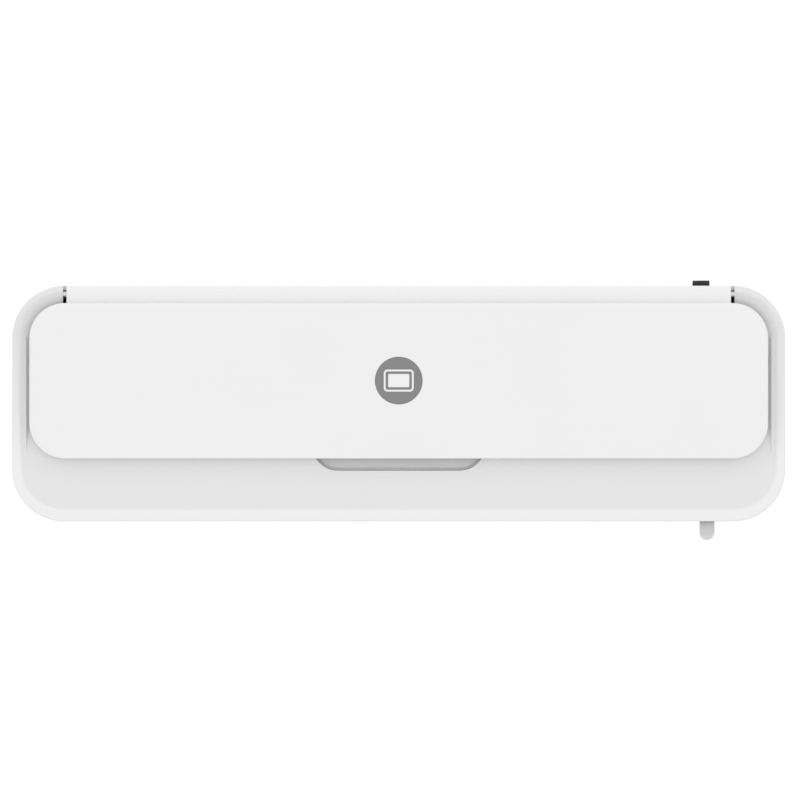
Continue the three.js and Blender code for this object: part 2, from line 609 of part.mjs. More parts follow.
// ---- controls and electronics ----
function addRocker() {
  const across = (half) => [ROCKER_X - half, ROCKER_X + half];
  const up = (half) => [ROCKER_Z - half, ROCKER_Z + half];
  const frameWindow = box(across(5.6), [68, BODY_REAR + 1], up(7));
  const bezel = box(across(6.2), [66.4, BODY_REAR], up(8.2)).subtract(frameWindow);
  place('rocker_bezel', bezel, 'black');
  const back = 3;
  const profile = polygon([[-4, -back], [2, -ROCKER_HALF], [ROCKER_FACE, -ROCKER_HALF], [3.7, 0],
    [ROCKER_FACE, ROCKER_HALF], [2, ROCKER_HALF], [-4, back]]);
  const rocker = place('rocker_button', slab(profile, -ROCKER_WIDTH / 2, ROCKER_WIDTH / 2), 'black');
  const reach = ROCKER_FACE * Math.cos(ROCKER_TILT) + ROCKER_HALF * Math.sin(ROCKER_TILT);
  rocker.position.set(ROCKER_X, REAR_REACH - reach, ROCKER_Z);
  rocker.rotation.x = -ROCKER_TILT;
}

function addControls() {
  addRocker();
  for (const [name, x] of Object.entries(LIGHT_X)) {
    place(name, rodY(LIGHT_RADIUS, [BODY_FRONT, -64], x, CONTROL_Z, 16), 'clear');
  }
  const knobHeight = [CONTROL_Z - 2.6, CONTROL_Z + 2.6];
  const knob = box([SLIDER_X - 7.4, SLIDER_X - 1.4], [BODY_FRONT + 0.1, -66.5], knobHeight);
  place('mode_slider', knob, 'grey');
  const switchBody = box([SLIDER_X - 11, SLIDER_X + 11], [-66.2, -60], [CONTROL_Z - 5, CONTROL_Z + 5]);
  place('slide_switch_body', switchBody, 'black');
  place('control_board', box(BOARD_X, BOARD_Y, BOARD_Z), 'board');
  place('power_relay', box([212, 228], [-4, 14], [BOARD_Z[1] + SEAM, 28]), 'black');
}

addHousing();
addLid();
addChassis();
addHeating();
addRollers();
addDrive();
addRelease();
addControls();

export default group;
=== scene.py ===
import json
from math import atan, cos, hypot, pi, radians, sin, sqrt

import bmesh
import bpy
from mathutils import Matrix, Vector


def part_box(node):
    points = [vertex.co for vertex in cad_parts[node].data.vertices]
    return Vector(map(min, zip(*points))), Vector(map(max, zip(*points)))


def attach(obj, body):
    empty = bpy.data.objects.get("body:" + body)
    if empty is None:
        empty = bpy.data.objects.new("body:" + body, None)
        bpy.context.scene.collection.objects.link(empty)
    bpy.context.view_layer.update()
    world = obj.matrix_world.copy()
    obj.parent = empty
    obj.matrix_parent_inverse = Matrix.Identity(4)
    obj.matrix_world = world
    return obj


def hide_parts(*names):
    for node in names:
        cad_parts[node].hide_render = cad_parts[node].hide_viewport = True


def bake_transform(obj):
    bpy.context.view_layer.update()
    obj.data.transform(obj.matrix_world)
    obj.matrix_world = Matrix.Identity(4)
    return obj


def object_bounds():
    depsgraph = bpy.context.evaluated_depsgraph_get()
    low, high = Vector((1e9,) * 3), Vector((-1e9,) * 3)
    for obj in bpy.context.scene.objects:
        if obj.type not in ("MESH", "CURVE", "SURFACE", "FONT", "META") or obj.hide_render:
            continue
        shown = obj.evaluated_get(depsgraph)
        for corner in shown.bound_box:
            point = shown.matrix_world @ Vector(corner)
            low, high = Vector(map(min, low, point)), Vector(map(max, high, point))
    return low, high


# Lengths below are in millimetres unless they say otherwise; link_mesh turns them into metres.
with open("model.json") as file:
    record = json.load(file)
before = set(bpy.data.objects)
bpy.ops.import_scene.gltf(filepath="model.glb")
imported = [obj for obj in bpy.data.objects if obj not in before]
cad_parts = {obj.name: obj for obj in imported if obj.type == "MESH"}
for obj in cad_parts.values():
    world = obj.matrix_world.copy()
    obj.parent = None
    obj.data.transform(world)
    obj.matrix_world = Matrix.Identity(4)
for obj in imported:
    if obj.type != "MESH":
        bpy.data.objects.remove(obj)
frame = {"nodes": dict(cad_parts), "record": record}
cad_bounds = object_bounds()
MM = 0.001
BODY_OF = {node: body for body, nodes in frame["record"]["behaviour"]["bodies"].items() for node in nodes}
SLOT_OF = {part["node"]: part["material_slot"] for part in frame["record"]["subparts"]}
JOINTS = {joint["name"]: joint for joint in frame["record"]["behaviour"]["joints"]}
CORNERS = ("front_left", "front_right", "rear_left", "rear_right")
SIDES = (("left", -1), ("right", 1))


def box(node):
    """The low and high corners of a CAD node's box, and its middle."""
    low, high = (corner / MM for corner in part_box(node))
    return low, high, (low + high) / 2


def joint_place(name):
    return Vector(JOINTS[name]["pos_m"]) / MM


# ---- stage, light and camera ----
CAMERA_DISTANCE = 20       # metres above the lid, so far that the view is nearly parallel
PICTURE_WIDTH = 0.5067     # metres seen at the lid's height
CAMERA_CENTRE = (0.8 * MM, 6.5 * MM)
FLOOR_HALF = 30000
SKY_AT_HORIZON = 0.62      # the soft light comes mostly from above
SKY_OVERHEAD = 1.13


def add_camera():
    data = bpy.data.cameras.new("camera")
    data.sensor_width = 36
    data.lens = data.sensor_width * CAMERA_DISTANCE / PICTURE_WIDTH
    camera = bpy.data.objects.new("camera", data)
    camera.location = (*CAMERA_CENTRE, cad_bounds[1][2] + CAMERA_DISTANCE)
    bpy.context.scene.collection.objects.link(camera)
    bpy.context.scene.camera = camera


def add_floor():
    bm = bmesh.new()
    bmesh.ops.create_grid(bm, x_segments=1, y_segments=1, size=FLOOR_HALF)
    floor = link_mesh("floor", bm)
    material, tree, shader = new_material("pale_floor")
    shader.inputs["Base Color"].default_value = (0.9, 0.9, 0.9, 1)
    shader.inputs["Roughness"].default_value = 0.7
    shader.inputs["Emission Color"].default_value = (1, 1, 1, 1)
    shader.inputs["Emission Strength"].default_value = 0.25
    bump(tree, shader, noise(tree, 60, 3), 0.02, 0.0005)
    floor.data.materials.append(material)


def add_area(name, position, size, energy):
    """A rectangular softbox that points at the object; position and size in metres."""
    data = bpy.data.lights.new(name, "AREA")
    data.shape = "RECTANGLE"
    data.size, data.size_y = size
    data.energy = energy
    light = bpy.data.objects.new(name, data)
    light.location = position
    light.rotation_euler = (-Vector(position)).to_track_quat("-Z", "Y").to_euler()
    bpy.context.scene.collection.objects.link(light)


def add_lights():
    world = bpy.data.worlds.new("studio")
    world.use_nodes = True
    tree = world.node_tree
    background = tree.nodes["Background"]
    background.inputs["Color"].default_value = (1, 1, 1, 1)
    split = add_node(tree, "SeparateXYZ", {"Vector": add_node(tree, "TexCoord").outputs["Generated"]})
    strength = spread(tree, split.outputs["Z"], SKY_AT_HORIZON, SKY_OVERHEAD)
    tree.links.new(strength, background.inputs["Strength"])
    bpy.context.scene.world = world
    add_area("rear_softbox", (0, 2.4, 1.7), (3.4, 1.2), 5)
    add_area("left_softbox", (-2.4, 0.5, 1.4), (1.6, 1.2), 3)
    add_area("right_softbox", (2.4, 0.5, 1.4), (1.6, 1.2), 3)
    bpy.context.scene.view_settings.view_transform = "Standard"


# ---- materials ----
def new_material(name):
    material = bpy.data.materials.new(name)
    material.use_nodes = True
    tree = material.node_tree
    return material, tree, tree.nodes["Principled BSDF"]


def add_node(tree, kind, sources=None, **values):
    """A node with some inputs linked from the sources, and others set; _ in a name stands for a space."""
    node = tree.nodes.new("ShaderNode" + kind)
    for name, setting in values.items():
        node.inputs[name.replace("_", " ")].default_value = setting
    for name, output in (sources or {}).items():
        tree.links.new(output, node.inputs[name])
    return node


def mixed(tree, factor, first, second):
    """A colour between two others, each of them an output of a node or a tuple."""
    node = tree.nodes.new("ShaderNodeMix")
    node.data_type = "RGBA"
    for name, source in (("Factor", factor), ("A", first), ("B", second)):
        if isinstance(source, tuple):
            node.inputs[name].default_value = (*source, 1)
        else:
            tree.links.new(source, node.inputs[name])
    return node.outputs["Result"]


def object_place(tree):
    return add_node(tree, "TexCoord").outputs["Object"]


def noise(tree, scale, detail):
    node = add_node(tree, "TexNoise", {"Vector": object_place(tree)}, Scale=scale, Detail=detail)
    return node.outputs["Fac"]


def spread(tree, factor, low, high):
    """Maps a factor from 0 to 1 to the range from low to high."""
    return add_node(tree, "MapRange", {"Value": factor}, To_Min=low, To_Max=high).outputs["Result"]


def bump(tree, shader, height, strength, distance):
    node = add_node(tree, "Bump", {"Height": height}, Strength=strength, Distance=distance)
    tree.links.new(node.outputs["Normal"], shader.inputs["Normal"])


def clouded(tree, factor, colour, amount):
    """Varies a colour a little around itself by the factor."""
    darker = tuple(part * (1 - amount) for part in colour)
    return mixed(tree, factor, darker, tuple(min(part * (1 + amount), 1) for part in colour))


def worn_edges(tree, colour, gain):
    """Lightens a colour along sharp outside edges, where handling polishes the surface."""
    pointed = tree.nodes.new("ShaderNodeNewGeometry").outputs["Pointiness"]
    worn = add_node(tree, "MapRange", {"Value": pointed}, From_Min=0.53, From_Max=0.62, To_Max=gain)
    return mixed(tree, worn.outputs["Result"], colour, (1, 1, 1))


def painted_rim_light(tree, colour, low, high, other):
    """Painted light: blends a colour into another between two heights above the ground, given in metres, so
    that raised parts are painted lighter than those below them.
    """
    split = add_node(tree, "SeparateXYZ", {"Vector": object_place(tree)})
    height = add_node(tree, "MapRange", {"Value": split.outputs["Z"]}, From_Min=low, From_Max=high)
    return mixed(tree, height.outputs["Result"], colour, other)


def plastic(name, colour, roughness, grain=900, depth=0.12, wear=0.12, cloud=0.012, gloss=0.5, raised=None):
    """Moulded plastic: spark-eroded grain, faint cloudiness and slightly polished edges."""
    material, tree, shader = new_material(name)
    fine = noise(tree, grain, 2)
    shade = clouded(tree, noise(tree, 14, 4), colour, cloud)
    # Painted light: parts above a given height, such as the deck's rim, are painted lighter for the light
    # that a raised rim catches.
    if raised:
        shade = painted_rim_light(tree, shade, *raised)
    if wear:
        shade = worn_edges(tree, shade, wear)
    tree.links.new(shade, shader.inputs["Base Color"])
    tree.links.new(spread(tree, fine, roughness - 0.06, roughness + 0.06), shader.inputs["Roughness"])
    shader.inputs["Specular IOR Level"].default_value = gloss
    bump(tree, shader, fine, depth, 0.0002)
    return material


def metal(name, colour, roughness, brush):
    """Sheet or turned metal with fine brushed lines, stretched along one axis by `brush`."""
    material, tree, shader = new_material(name)
    stretched = add_node(tree, "Mapping", {"Vector": object_place(tree)}, Scale=brush).outputs["Vector"]
    lines = add_node(tree, "TexNoise", {"Vector": stretched}, Scale=700, Detail=3).outputs["Fac"]
    shade = worn_edges(tree, clouded(tree, noise(tree, 30, 3), colour, 0.06), 0.3)
    tree.links.new(shade, shader.inputs["Base Color"])
    shader.inputs["Metallic"].default_value = 1
    tree.links.new(spread(tree, lines, roughness - 0.1, roughness + 0.1), shader.inputs["Roughness"])
    bump(tree, shader, lines, 0.08, 0.0001)
    return material


def clear_plastic():
    material, tree, shader = new_material("clear_light_pipe")
    fine = noise(tree, 500, 2)
    tree.links.new(clouded(tree, fine, (0.85, 0.93, 0.95), 0.03), shader.inputs["Base Color"])
    tree.links.new(spread(tree, fine, 0.08, 0.2), shader.inputs["Roughness"])
    shader.inputs["Transmission Weight"].default_value = 0.6
    shader.inputs["IOR"].default_value = 1.49
    bump(tree, shader, fine, 0.05, 0.0001)
    return material


RIM_HEIGHT = 0.8
DECK_Z = box("top_shell")[1].z - RIM_HEIGHT
WHITE = (0.842, 0.842, 0.842)

MATERIALS = {
    "white_abs": plastic("white_abs", WHITE, 0.42, wear=0),
    # The deck's own light grey; where the deck rises into its rim, white is painted on as painted light.
    "deck_abs": plastic("deck_abs", (0.765, 0.765, 0.765), 0.5, depth=0.2, wear=0,
                        raised=((DECK_Z + 0.1) * MM, (DECK_Z + 0.7) * MM, WHITE)),
    "grey_plastic": plastic("grey_plastic", (0.595, 0.595, 0.595), 0.48),
    "emblem_grey": plastic("emblem_grey", (0.21, 0.212, 0.215), 0.4, wear=0.05),
    "black_plastic": plastic("black_plastic", (0.021, 0.021, 0.022), 0.6, wear=0.05, cloud=0.15, gloss=0.2),
    "rubber": plastic("rubber", (0.022, 0.022, 0.024), 0.8, grain=600, depth=0.4, wear=0.04, cloud=0.2),
    "silicone": plastic("silicone", (0.42, 0.1, 0.06), 0.6, grain=700, depth=0.25, wear=0.05, cloud=0.08),
    "steel": metal("zinc_plated_steel", (0.6, 0.61, 0.62), 0.34, (0.08, 1, 1)),
    "aluminium": metal("extruded_aluminium", (0.74, 0.75, 0.76), 0.38, (0.03, 1, 1)),
    "gear_plastic": plastic("natural_nylon", (0.78, 0.74, 0.62), 0.5, wear=0.08, cloud=0.03),
    "mica": plastic("mica_sheet", (0.42, 0.33, 0.17), 0.6, grain=260, depth=0.3, cloud=0.2),
    "board": plastic("solder_resist", (0.03, 0.16, 0.06), 0.35, grain=300, cloud=0.15),
    "clear_plastic": clear_plastic(),
}


# ---- mesh tools ----
SHARP_ANGLE = radians(32)
BROAD_FACE = 60 * MM * MM    # square metres
UPRIGHT = 0.99999


def link_mesh(name, bm):
    """An object in metres from a bmesh in millimetres."""
    bmesh.ops.scale(bm, vec=(MM, MM, MM), verts=bm.verts)
    bmesh.ops.recalc_face_normals(bm, faces=bm.faces)
    mesh = bpy.data.meshes.new(name)
    bm.to_mesh(mesh)
    bm.free()
    obj = bpy.data.objects.new(name, mesh)
    bpy.context.scene.collection.objects.link(obj)
    return obj


def outline(low, high, radius, steps=14):
    """Points with outward directions around a rounded rectangle, counterclockwise seen from above."""
    corners = [(high.x - radius, high.y - radius), (low.x + radius, high.y - radius),
               (low.x + radius, low.y + radius), (high.x - radius, low.y + radius)]
    points = []
    for quarter, centre in enumerate(corners):
        for step in range(steps + 1):
            angle = (quarter + step / steps) * pi / 2
            direction = Vector((cos(angle), sin(angle)))
            points.append((Vector(centre) + direction * radius, direction))
    return points


def shifted(points, inset):
    return [(point - direction * inset, direction) for point, direction in points]


def between(first, second, share):
    """Points a share of the way from one outline to another with as many points."""
    return [(near.lerp(far, share), direction) for (near, direction), (far, _) in zip(first, second)]


def gap_outside(place, low, high, radius):
    """How far a point lies outside a rounded rectangle; less than 0 inside it."""
    middle = (low + high) / 2
    across = abs(place.x - middle.x) - (high.x - low.x) / 2 + radius
    along = abs(place.y - middle.y) - (high.y - low.y) / 2 + radius
    return hypot(max(across, 0), max(along, 0)) + min(max(across, along), 0) - radius


def value(rule, point, direction):
    return rule(point, direction) if callable(rule) else rule


def ring(bm, points, inset, z):
    """One loop of vertices: inset and z are numbers, or rules of a point and its outward direction."""
    loop = []
    for point, direction in points:
        moved = point - direction * value(inset, point, direction)
        loop.append(bm.verts.new((moved.x, moved.y, value(z, moved, direction))))
    return loop


def bridge(bm, loops):
    for lower, upper in zip(loops, loops[1:]):
        for index in range(len(lower)):
            after = (index + 1) % len(lower)
            bm.faces.new((lower[index], lower[after], upper[after], upper[index]))


def tube(name, bm, loops, transform=None):
    """A closed piece from loops of vertices, with both ends capped."""
    bridge(bm, loops)
    bm.faces.new(loops[0])
    bm.faces.new(loops[-1])
    if transform:
        bm.transform(transform)
    return link_mesh(name, bm)


def closed_stack(name, rows):
    """A closed piece from (points, inset, z) rows, one loop for each."""
    bm = bmesh.new()
    return tube(name, bm, [ring(bm, *row) for row in rows])


def extruded(name, profile, low_x, high_x):
    """An outline of (y, z) points, drawn along x."""
    bm = bmesh.new()
    return tube(name, bm, [[bm.verts.new((x, y, z)) for y, z in profile] for x in (low_x, high_x)])


def combine(obj, others, operation):
    """Adds or cuts away the other objects one by one, and removes them."""
    for other in others:
        modifier = obj.modifiers.new("boolean", "BOOLEAN")
        modifier.operation = operation
        modifier.solver = "EXACT"
        modifier.object = other
        graph = bpy.context.evaluated_depsgraph_get()
        mesh = bpy.data.meshes.new_from_object(obj.evaluated_get(graph))
        obj.modifiers.clear()
        obj.data = mesh
        bpy.data.objects.remove(other)


def put(obj, matrix):
    """Moves a piece's own mesh by a matrix in millimetres."""
    to_metres = Matrix.Scale(MM, 4)
    obj.data.transform(to_metres @ matrix @ to_metres.inverted())
    return obj


def add_box(bm, middle, size):
    """A plain box in a bmesh."""
    corners = bmesh.ops.create_cube(bm, size=1)["verts"]
    bmesh.ops.scale(bm, vec=size, verts=corners)
    bmesh.ops.translate(bm, vec=middle, verts=corners)


def block(name, low, high, radius=0, segments=3):
    """A box between two corners, with all its edges rounded."""
    bm = bmesh.new()
    add_box(bm, (Vector(high) + Vector(low)) / 2, Vector(high) - Vector(low))
    if radius:
        edges = list(bm.edges)
        bmesh.ops.bevel(bm, geom=edges, offset=radius, segments=segments, affect="EDGES", profile=0.5)
    return link_mesh(name, bm)


def turned(name, profile, axis, origin, steps=64):
    """A lathe piece: (place along the axis, radius) points turned about a line through origin."""
    bm = bmesh.new()
    units = {"X": Vector((1, 0, 0)), "Y": Vector((0, 1, 0)), "Z": Vector((0, 0, 1))}
    along = units[axis]
    side = units["YZX"["XYZ".index(axis)]]
    other = along.cross(side)
    foot = Vector(origin) - along * along.dot(Vector(origin))
    spokes = [side * cos(2 * pi * step / steps) + other * sin(2 * pi * step / steps) for step in range(steps)]
    loops = [[bm.verts.new(foot + along * distance + spoke * radius) for spoke in spokes]
             for distance, radius in profile]
    if profile[0] != profile[-1]:
        return tube(name, bm, loops)
    bridge(bm, loops)
    bmesh.ops.remove_doubles(bm, verts=bm.verts, dist=0.0001)
    return link_mesh(name, bm)


def cylinder(start, end, radius, axis, origin, steps):
    return turned("cylinder", [(start, radius), (end, radius)], axis, origin, steps)


def smooth(obj):
    """Smooth shading between an object's sharp edges, but broad upright or level faces stay flat."""
    obj.data.shade_smooth()
    obj.data.set_sharp_from_angle(angle=SHARP_ANGLE)
    for face in obj.data.polygons:
        if face.area > BROAD_FACE and max(abs(part) for part in face.normal) > UPRIGHT:
            face.use_smooth = False


def soften(obj, width):
    """Rounds an object's sharp edges with a bevel, and shades it to suit."""
    smooth(obj)
    bevel = obj.modifiers.new("edge_rounding", "BEVEL")
    bevel.width = width * MM
    bevel.segments = 2
    bevel.limit_method = "ANGLE"
    bevel.angle_limit = SHARP_ANGLE
    weighted = obj.modifiers.new("even_shading", "WEIGHTED_NORMAL")
    weighted.keep_sharp = True
    weighted.weight = 100


def dress(obj, body, slot, width=0, material=None):
    """Gives a piece the material of its slot, or the one given, its shading and its body."""
    obj.data.materials.clear()
    obj.data.materials.append(material or MATERIALS[slot])
    if width:
        soften(obj, width)
    else:
        smooth(obj)
    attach(obj, body)


def finish_piece(obj, node, width=0, material=None):
    """Dresses a piece as its node is, and hides that node."""
    dress(obj, BODY_OF[node], SLOT_OF[node], width, material)
    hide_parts(node)


def quarter(steps):
    """Angles from 0 to a right angle."""
    return [step / steps * pi / 2 for step in range(steps + 1)]


def fillet(points, width, height, top, steps):
    """Rows of an outside fillet, from the wall up to `top`."""
    rows = []
    for angle in quarter(steps):
        def reach(point, direction, angle=angle):
            return value(width, point, direction) * (1 - cos(angle))
        def level(point, direction, angle=angle):
            return value(top, point, direction) - value(height, point, direction) * (1 - sin(angle))
        rows.append((points, reach, level))
    return rows


def ease(amount, start, end):
    """A smooth step from 0 at start to 1 at end."""
    share = min(max((amount - start) / (end - start), 0), 1)
    return share * share * (3 - 2 * share)


def growing(start, gain, low, high):
    """A rule for a size that gains towards the rear, as the outward direction's y goes from low to high."""
    return lambda point, direction: start + gain * ease(direction.y, low, high)


# ---- housing ----
WALL = 2.5
DECK_THICKNESS = 2.3
CORNER_RADIUS = 33
LID_CORNER = 22.5
LID_SKIRT = 2
RIM_FRONT = 7
RIM_SIDE = 5.5
VALLEY_DEPTH = 3        # the deck's dip along the sides of the lid
VALLEY_WIDTH = 8.2
NOTCH_GAP = 2.3         # slit at each end of the hinge barrel
NOTCH_CLEARANCE = 0.6
PATH_HALF = 167         # half width of the entry opening
BARREL_HALF = 210.5     # half length of the hinge barrel
SEAM = 0.3
ABOVE = 80              # a height clear of the casing, for cutters

base_low, base_high, _ = box("base_shell")
_, lid_high, _ = box("lid_panel")
liner_low, liner_high, _ = box("lid_liner")
_, _, HINGE = box("hinge_pin_left")
BARREL_RADIUS = lid_high.y - HINGE.y
NOTCH_FRONT = HINGE.y - BARREL_RADIUS - NOTCH_CLEARANCE
NOTCH_FLOOR = HINGE.z - BARREL_RADIUS - SEAM
SPLIT_Z = base_high.z + SEAM / 2

cover_margin = Vector((LID_SKIRT + SEAM, LID_SKIRT + SEAM, 0))
COVER_LOW = liner_low - cover_margin
COVER_HIGH = liner_high + cover_margin
RIM_LOW = base_low + Vector((RIM_SIDE, RIM_FRONT, 0))
RIM_HIGH = base_high - Vector((RIM_SIDE, RIM_SIDE, 0))


def body_points():
    return outline(base_low, base_high, CORNER_RADIUS, 20)


def lid_points():
    return outline(COVER_LOW, COVER_HIGH, LID_CORNER, 20)


def rim_fade(point):
    """The raised rim is whole along the front and dies away towards the rear."""
    return 1 - ease(point.y, -12, 34)


def valley_dip(place, direction):
    """How far the deck dips beside the lid, at the sides and the rear corners."""
    gap = gap_outside(place, COVER_LOW, COVER_HIGH, LID_CORNER)
    side = 1 - ease(-direction.y, 0, 0.8)
    if gap > 0:
        return VALLEY_DEPTH * side * (1 - min(gap / VALLEY_WIDTH, 1)) ** 1.05
    return VALLEY_DEPTH * side * (1 - ease(-gap, 0.5, 5.1))


def deck_surface(place, direction):
    inner = gap_outside(place, RIM_LOW, RIM_HIGH, CORNER_RADIUS - RIM_SIDE)
    rim = RIM_HEIGHT * rim_fade(place) * ease(inner, -2.2, 1.2)
    return DECK_Z + rim - valley_dip(place, direction)


def deck_underside(place, direction):
    return DECK_Z - DECK_THICKNESS - valley_dip(place, direction)


def top_skin():
    outside = body_points()
    rim = outline(RIM_LOW, RIM_HIGH, CORNER_RADIUS - RIM_SIDE, 20)
    cover = lid_points()
    foot_of_rim = shifted(rim, 2.2)
    below_lid = [0, 0.9, 1.8, 2.8, 3.8, 4.8, 5.6]
    rows = [(cover, inset, deck_underside) for inset in reversed(below_lid)]
    rows += [(between(foot_of_rim, cover, share), 0, deck_underside) for share in (0.67, 0.33)]
    rows += [(outside, WALL, DECK_Z - DECK_THICKNESS), (outside, WALL, SPLIT_Z + SEAM),
             (outside, WALL - 0.3, SPLIT_Z + SEAM / 2), (outside, 0.35, SPLIT_Z + SEAM / 2),
             (outside, 0, SPLIT_Z + SEAM * 1.6)]
    width = growing(1.3, 2.6, 0.1, 0.9)
    height = growing(1.3, 1.9, 0.1, 0.9)
    rows += fillet(outside, width, height, deck_surface, steps=7)
    rows += [(rim, step * 0.57 - 1.2, deck_surface) for step in range(7)]
    rows += [(between(foot_of_rim, cover, step / 6), 0, deck_surface) for step in range(1, 6)]
    rows += [(cover, inset, deck_surface) for inset in below_lid]
    return closed_stack("top_casing", rows)


def finger_pocket(name, inset, low_z, high_z):
    low, high, _ = box("finger_recess_insert")
    margin = Vector((SEAM - inset, SEAM - inset, 0))
    points = outline(low - margin, high + margin, 16.4 - inset, 16)
    return closed_stack(name, [(points, 0, low_z), (points, 0, high_z)])


def front_slot(name, half, low_z, high_z, centre):
    front = base_low.y
    return block(name, (centre - half, front - 2, low_z), (centre + half, front + 5, high_z), 0.8)


def screw_bosses():
    """Posts that take the housing screws, lower at the rear, under the deck's dip."""
    bosses = []
    for name in CORNERS:
        _, _, middle = box("housing_screw_" + name)
        top = DECK_Z - DECK_THICKNESS * (2 if name.startswith("rear") else 0.5)
        profile = [(7.8, 1.5), (7.8, 4), (top, 4), (top, 1.5), (7.8, 1.5)]
        bosses.append(turned("boss", profile, "Z", middle, 32))
    return bosses


def front_openings():
    """Cutters for the release lever, the mode slider, the two lights and the rocker."""
    _, _, lever = box("release_lever")
    _, _, slider = box("slide_switch_body")
    cutters = [front_slot("lever_slot", 5.3, 32.2, 50.8, lever.x),
               front_slot("slider_slot", 7.7, slider.z - 2.9, slider.z + 2.9, slider.x)]
    for name in ("power_light_pipe", "ready_light_pipe"):
        _, _, middle = box(name)
        cutters.append(cylinder(base_low.y - 5, base_low.y + 5, 2.1, "Y", middle, 32))
    low, high, _ = box("rocker_bezel")
    cutters.append(block("rocker_hole", low - Vector((SEAM, 0, SEAM)), high + Vector((SEAM, 4, SEAM)), 0.4))
    return cutters


def slit_drains(notch_half):
    """Cutters that open the floor of the slit at each end of the hinge barrel."""
    half = NOTCH_GAP / 2 - 0.15
    rear = base_high.y - WALL - 0.4
    return [block("slit_drain", (slit - half, NOTCH_FRONT + 0.4, 40), (slit + half, rear, NOTCH_FLOOR + 1))
            for slit in (NOTCH_GAP / 2 - notch_half, notch_half - NOTCH_GAP / 2)]


def add_top_casing():
    casing = top_skin()
    wall = 2.2
    trough_low = (-220, NOTCH_FRONT - wall, NOTCH_FLOOR - wall)
    trough = block("trough", trough_low, (220, base_high.y - 1, DECK_Z - 4.5))
    pocket_wall = finger_pocket("pocket_wall", -1.6, DECK_Z - 5.8, DECK_Z - 1.5)
    combine(casing, [trough, pocket_wall, *screw_bosses()], "UNION")
    half = BARREL_HALF + NOTCH_GAP
    notch = block("notch", (-half, NOTCH_FRONT, NOTCH_FLOOR), (half, base_high.y + 4, ABOVE))
    entry = block("entry", (-PATH_HALF, 40, 50), (PATH_HALF, NOTCH_FRONT - 2.6, ABOVE), 1.5)
    sill_half = PATH_HALF - 1.5
    sill = block("sill", (-sill_half, NOTCH_FRONT - 4, 59), (sill_half, NOTCH_FRONT + 1, ABOVE))
    pocket = finger_pocket("pocket", 0, DECK_Z - 4.2, ABOVE)
    combine(casing, [notch, entry, sill, pocket, *front_openings(), *slit_drains(half)], "DIFFERENCE")
    finish_piece(casing, "top_shell", 0.25)


def base_skin():
    points = body_points()
    edge = 3
    rows = [(points, WALL, base_low.z + WALL), (points, WALL, SPLIT_Z - SEAM),
            (points, WALL - 0.3, SPLIT_Z - SEAM / 2), (points, 0.35, SPLIT_Z - SEAM / 2),
            (points, 0, SPLIT_Z - SEAM * 1.6)]
    rows += [(points, edge * (1 - cos(angle)), base_low.z + edge * (1 - sin(angle))) for angle in quarter(6)]
    return closed_stack("base_casing", rows)


def vent_slots():
    """Rows of ventilation slots through the floor, below the heater plates."""
    bm = bmesh.new()
    for column in range(-3, 4):
        for row in range(5):
            add_box(bm, (column * 44, row * 9 - 10, base_low.z + WALL / 2), (32, 3, 8))
    upright = [edge for edge in bm.edges if abs((edge.verts[0].co - edge.verts[1].co).z) > 5]
    bmesh.ops.bevel(bm, geom=upright, offset=1.4, segments=4, affect="EDGES", profile=0.5)
    return link_mesh("vent_slots", bm)


def add_base_casing():
    casing = base_skin()
    seats = []
    holes = []
    for name in CORNERS:
        _, _, middle = box("housing_screw_" + name)
        seats.append(cylinder(4, 7.5, 7, "Z", middle, 40))
        holes.append(turned("screw_hole", [(1, 4.4), (5.2, 4.4), (5.2, 1.9), (9, 1.9)], "Z", middle, 40))
    combine(casing, seats, "UNION")
    exit_slot = block("exit_slot", (-168, base_low.y - 3, 18), (168, base_low.y + 6, 26), 1.2)
    _, _, gland = box("cord_gland")
    gland_hole = cylinder(base_high.y - 6, base_high.y + 6, 5.3, "Y", gland, 40)
    combine(casing, [exit_slot, gland_hole, vent_slots(), *holes], "DIFFERENCE")
    finish_piece(casing, "base_shell", 0.25)


def add_finger_recess():
    low, high, _ = box("finger_recess_insert")
    points = outline(low, high, 16.1, 16)
    top = high.z
    floor = low.z + 1.6
    rows = [(points, 0, low.z), (points, 0, top - 0.3), (points, 0.15, top),
            (points, 0.3, top), (points, 0.4, top - 0.3), (points, 0.5, floor - 0.3),
            (points, 1, floor - 0.3), (points, 1.2, floor - 0.1), (points, 1.6, floor)]
    dish = closed_stack("finger_recess_dish", rows)
    # Painted shade: the dish is painted a darker grey than the deck, for the shade in the hollow under the
    # lid's front edge.
    recess_shade_plastic = plastic("recess_painted_shade", (0.64, 0.64, 0.64), 0.5)
    finish_piece(dish, "finger_recess_insert", material=recess_shade_plastic)


def add_feet():
    for name in CORNERS:
        node = "rubber_foot_" + name
        low, high, middle = box(node)
        radius = (high.x - low.x) / 2
        profile = [(high.z, 0.4), (high.z, radius - 0.4), (high.z - 0.4, radius),
                   (0.9, radius - 0.3), (0.25, radius - 0.8), (0, radius - 1.6),
                   (0, radius - 3.4), (0.5, radius - 3.9), (0.5, 0.4)]
        finish_piece(turned("foot_pad_" + name, profile, "Z", middle, 48), node)


# ---- lid ----
LID_SKIN = 2.4
PIN_HOLE = 1.85


def hinge_barrel(web_front, web_low, web_high):
    """The barrel and the web that joins it to the lid, as one outline in y and z."""
    start = 76
    end = -214
    profile = [(web_front, web_low), (web_front, web_high)]
    for step in range(31):
        angle = radians(start + (end - start) * step / 30)
        profile.append((HINGE.y + BARREL_RADIUS * cos(angle), HINGE.z + BARREL_RADIUS * sin(angle)))
    return extruded("hinge_barrel", profile, -BARREL_HALF, BARREL_HALF)


